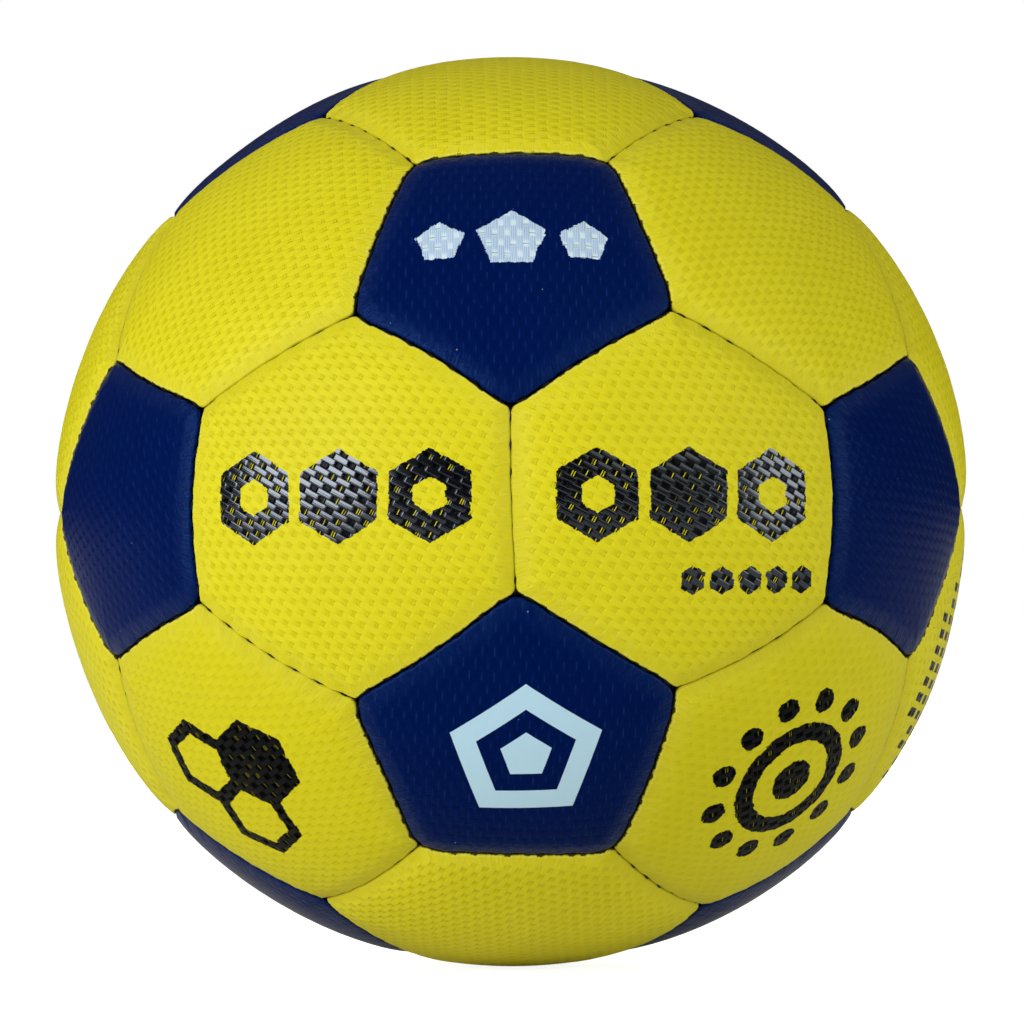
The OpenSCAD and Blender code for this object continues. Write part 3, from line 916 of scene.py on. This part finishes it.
def stitch_rings(seam, place, showing):
    """The rings of one stitch's tube, with the thread's length at each."""
    line = seam["line"]
    t = np.linspace(-1, 1, THREAD_STEPS)
    reach = place + STITCH_HALF * t
    index = np.clip(reach / seam["length"] * EDGE_STEPS, 0, EDGE_STEPS - 1e-6)
    low = index.astype(int)
    part = (index - low)[:, None]
    way = unit(line[low] * (1 - part) + line[low + 1] * part)
    side = unit(seam["across"][low])
    edge = (BLUE_LIP + YELLOW_LIP) / 2 if seam["two_coloured"] else YELLOW_LIP + VALLEY_DEPTH
    lift = PILLOW_DEPTH + CROWN_DEPTH + edge
    radius = BALL_R + out_of_round(way) - lift + showing - STITCH_ARCH * t**2
    middle = unit(way + side * (STITCH_SLANT * t / BALL_R)[:, None]) * radius[:, None]
    run = unit(np.gradient(middle, axis=0))
    up = unit(way - (way * run).sum(1)[:, None] * run)
    right = np.cross(run, up)
    turn = np.linspace(0, 2 * math.pi, THREAD_SIDES, endpoint=False)
    thick = THREAD_R * np.sqrt(np.clip(1.04 - t**2, 0.05, 1)) ** 0.5
    spokes = np.cos(turn)[None, :, None] * up[:, None] + np.sin(turn)[None, :, None] * right[:, None]
    return middle[:, None] + thick[:, None, None] * spokes, reach


def thread_mesh(name, chosen):
    """All the stitches of several seams in one mesh."""
    verts, faces, maps = [], [], []
    step = 1 / THREAD_SIDES
    for seam in chosen:
        for k in range(STITCHES_PER_EDGE):
            place = (k + 0.5) * seam["length"] / STITCHES_PER_EDGE
            showing = SHOWING_BLUE if seam["two_coloured"] else SHOWING_YELLOW * seam["shown"][k]
            rings, reach = stitch_rings(seam, place, showing)
            start = len(verts)
            verts += rings.reshape(-1, 3).tolist()
            for i in range(THREAD_STEPS - 1):
                for j in range(THREAD_SIDES):
                    a, b = start + i * THREAD_SIDES + j, start + i * THREAD_SIDES + (j + 1) % THREAD_SIDES
                    faces.append((a, b, b + THREAD_SIDES, a + THREAD_SIDES))
                    u, v, w = reach[i] - place, j * step, reach[i + 1] - place
                    maps += [(u, v), (u, v + step), (w, v + step), (w, v)]
            last = start + (THREAD_STEPS - 1) * THREAD_SIDES
            faces.append(tuple(range(start + THREAD_SIDES - 1, start - 1, -1)))
            faces.append(tuple(range(last, last + THREAD_SIDES)))
            maps += [(reach[0] - place, 0)] * THREAD_SIDES + [(reach[-1] - place, 0)] * THREAD_SIDES
    mesh = bpy.data.meshes.new(name)
    mesh.from_pydata((np.array(verts) * MM).tolist(), [], faces)
    mesh.polygons.foreach_set("use_smooth", [True] * len(faces))
    mesh.uv_layers.new(name="thread").data.foreach_set("uv", np.array(maps).ravel())
    return mesh


# Each blue panel's stitches are one piece, with those of the yellow seams that lie nearest to it
thread = waxed_thread("black waxed polyester thread")
blue_panels = [i for i, p in enumerate(places) if p["sides"] == 5]
for count, i in enumerate(blue_panels, 1):
    chosen = [s for pair, s in seams.items() if i in pair]
    for s in seams.values():
        middle = s["line"][EDGE_STEPS // 2]
        nearest = max(blue_panels, key=lambda b: places[b]["way"] @ middle + 1e-6 * b)
        if not s["two_coloured"] and nearest == i:
            chosen.append(s)
    name = f"stitches_{count:02d}"
    add_object(name, thread_mesh(name, chosen), thread, ["stitching"])

# The pieces that keep their CAD shape, each with its real finish
lining = woven_lining("latexed polycotton lining", "#B9B2A0", "#DAD5C6")
KEPT = {
    "pentagon_linings": lining,
    "hexagon_linings": lining,
    "valve_patch": woven_lining("latexed cotton patch", "#A79F8B", "#CFC8B4"),
    "bladder": moulded_rubber("black butyl rubber", "#15161A", "#26282C", 0.55),
    "valve_housing": moulded_rubber("black valve rubber", "#0C0C0E", "#1A1B1D", 0.45),
    "valve_core": moulded_rubber("soft black core rubber", "#18181A", "#2A2A2C", 0.6),
}
for name, material in KEPT.items():
    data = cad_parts[name].data
    data.materials.clear()
    data.materials.append(material)


# Stage: a pale floor that reads as white, a white surround, soft lamps and the camera, in metres and watts

# The floor glows a little, so that the camera sees plain white with only a faint shadow
FLOOR_HALF = 3.0
FLOOR_SEEN = 0.9
FLOOR_GLOW = 0.88
FLOOR_UNSEEN = 0.95
CEILING_LOW = 0.01
CEILING_HIGH = 0.2

# Each lamp's place, width, height, power and tint, and whether it gives glare. The rear box gives none, as it
# would whiten the outline seen from the front
LAMPS = (
    ("left soft box", (-1.5, -1.27, 0.5), 1.2, 0.95, 27.8, (1.0, 1.0, 1.0), True),
    ("right soft box", (1.85, -0.6, 0.3), 0.7, 0.9, 8.6, (1.0, 1.0, 0.95), True),
    ("overhead umbrella", (1.2, -1.35, 1.05), 1.5, 1.5, 10.0, (1.0, 0.99, 0.88), True),
    ("rear soft box", (0.0, 2.1, 0.5), 0.9, 0.7, 15.0, (1.0, 1.0, 1.0), False),
)

# The camera stands a little below the middle and a hair to the right of it
LENS = 182.2
CAMERA_PLACE = (0.00022, -1.0, -0.00004)
CAMERA_TURNS = (("Y", -0.35), ("X", -1.21), ("Z", 0.36))


def only_camera(t, seen, unseen):
    """One shader for what the camera sees and another for the light that reaches the ball."""
    return put(t, "MixShader", [put(t, "LightPath"), unseen, seen])


corners = [(x * FLOOR_HALF, y * FLOOR_HALF, 0) for x, y in ((-1, -1), (1, -1), (1, 1), (-1, 1))]
floor_mesh = bpy.data.meshes.new("floor")
floor_mesh.from_pydata(corners, [], [(0, 1, 2, 3)])
floor = bpy.data.objects.new("floor", floor_mesh)
floor.location.z = -BALL_R * MM
bpy.context.scene.collection.objects.link(floor)
floor_material, t = new_material("white studio floor")
lit = put(t, "BsdfDiffuse", {"Color": (FLOOR_SEEN, FLOOR_SEEN, FLOOR_SEEN, 1)})
glow = put(t, "Emission", {"Color": (1, 1, 1, 1), "Strength": FLOOR_GLOW})
dull = put(t, "BsdfDiffuse", {"Color": (FLOOR_UNSEEN, FLOOR_UNSEEN, FLOOR_UNSEEN, 1)})
put(t, "OutputMaterial", [only_camera(t, put(t, "AddShader", [lit, glow]), dull)], out=None)
floor_mesh.materials.append(floor_material)

# The room is dark low down and gives a little light from above
world = bpy.data.worlds.new("studio")
bpy.context.scene.world = world
world.use_nodes = True
world.node_tree.nodes.clear()
t = world.node_tree
white = put(t, "Background", {"Color": (1, 1, 1, 1), "Strength": 1.0})
_, _, up = put(t, "SeparateXYZ", [put(t, "TexCoord")], out=None)
ceiling = put(t, "MapRange SMOOTHSTEP", [up, 0.0, 0.8, CEILING_LOW, CEILING_HIGH])
room = put(t, "Background", {"Color": (1, 1, 1, 1), "Strength": ceiling})
put(t, "OutputWorld", [only_camera(t, white, room)], out=None)

for name, place, width, height, power, tint, glare in LAMPS:
    data = bpy.data.lights.new(name, "AREA")
    data.shape = "RECTANGLE"
    data.size = width
    data.size_y = height
    data.energy = power
    data.color = tint
    soft_box = bpy.data.objects.new(name, data)
    soft_box.location = place
    soft_box.rotation_euler = (-Vector(place)).to_track_quat("-Z", "Y").to_euler()
    soft_box.visible_glossy = glare
    bpy.context.scene.collection.objects.link(soft_box)

turns = Matrix.Identity(3)
for axis, degrees in CAMERA_TURNS:
    turns = turns @ Matrix.Rotation(math.radians(degrees), 3, axis)
ahead = Matrix(((1, 0, 0), (0, 0, -1), (0, 1, 0)))
camera_data = bpy.data.cameras.new("camera")
camera_data.lens = LENS
camera_data.sensor_width = 36.0
camera_data.clip_start = 0.1
camera_data.clip_end = 20.0
camera = bpy.data.objects.new("camera", camera_data)
camera.matrix_world = (turns.transposed() @ ahead).to_4x4()
camera.location = turns.transposed() @ Vector(CAMERA_PLACE)
bpy.context.scene.collection.objects.link(camera)
bpy.context.scene.camera = camera
bpy.context.scene.view_settings.view_transform = "Standard"
